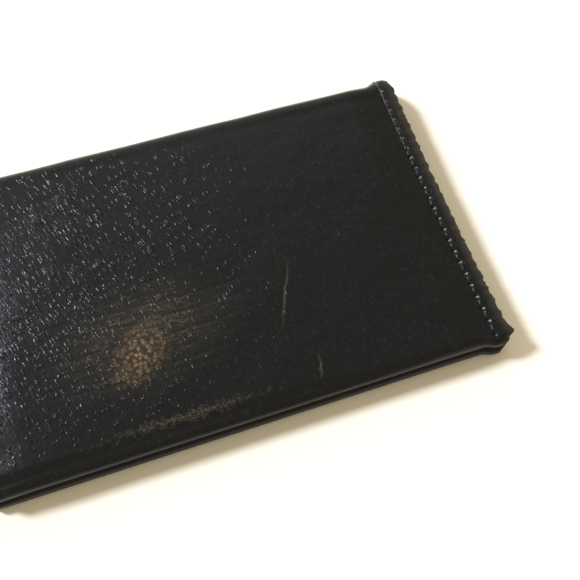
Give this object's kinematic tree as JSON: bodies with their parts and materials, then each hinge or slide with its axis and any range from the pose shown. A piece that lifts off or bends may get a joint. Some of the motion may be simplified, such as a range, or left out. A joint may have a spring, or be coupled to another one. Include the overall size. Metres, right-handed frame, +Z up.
{
  "type": "card holder",
  "caption": "Flat bifold card holder in black turned leather, with inner card pockets, sewn and pinked short edges and a rolled spine that opens flat.",
  "frame": {"origin": "centre of the shut holder's footprint, on the surface it lies on", "axes": "+X along the spine to the right, +Y from the near folds towards the spine, +Z up out of the front cover"},
  "size_m": [0.115, 0.0746, 0.0079],
  "materials": {
    "hide": "black pebbled hide, satin",
    "panel_leather": "black split leather, matt",
    "welt_leather": "black skived leather, matt",
    "lining": "black woven lining",
    "board": "grey-brown board, matt",
    "thread": "black sewing thread"
  },
  "bodies": {
    "back_half": {"back_cover": "hide", "back_cover_turn": "hide", "back_pocket_turn": "hide", "back_pocket": "hide", "back_card_panel": "panel_leather", "back_lining": "lining", "back_board": "board", "back_left_panel_welt": "welt_leather", "back_right_panel_welt": "welt_leather", "back_left_pocket_welt": "welt_leather", "back_right_pocket_welt": "welt_leather", "back_spine_bend": "hide", "back_left_seam": "thread", "back_right_seam": "thread"},
    "spine": {"spine_panel": "hide", "spine_lining": "lining", "spine_left_seam": "thread", "spine_right_seam": "thread"},
    "front_half": {"front_cover": "hide", "front_cover_turn": "hide", "front_pocket_turn": "hide", "front_pocket": "hide", "front_card_panel": "panel_leather", "front_lining": "lining", "front_board": "board", "front_left_panel_welt": "welt_leather", "front_right_panel_welt": "welt_leather", "front_left_pocket_welt": "welt_leather", "front_right_pocket_welt": "welt_leather", "front_spine_bend": "hide", "front_left_seam": "thread", "front_right_seam": "thread"}
  },
  "joints": [
    {"name": "spine_fold", "type": "hinge", "parent": "back_half", "child": "spine", "pos_m": [0, 0.0362, 0.00115], "axis": [-1, 0, 0], "range_deg": [0, 90]},
    {"name": "cover_fold", "type": "hinge", "parent": "spine", "child": "front_half", "pos_m": [0, 0.0362, 0.0067], "axis": [-1, 0, 0], "range_deg": [0, 90]}
  ],
  "couplings": [
    {"joint": "cover_fold", "follows": "spine_fold", "ratio": 1}
  ]
}
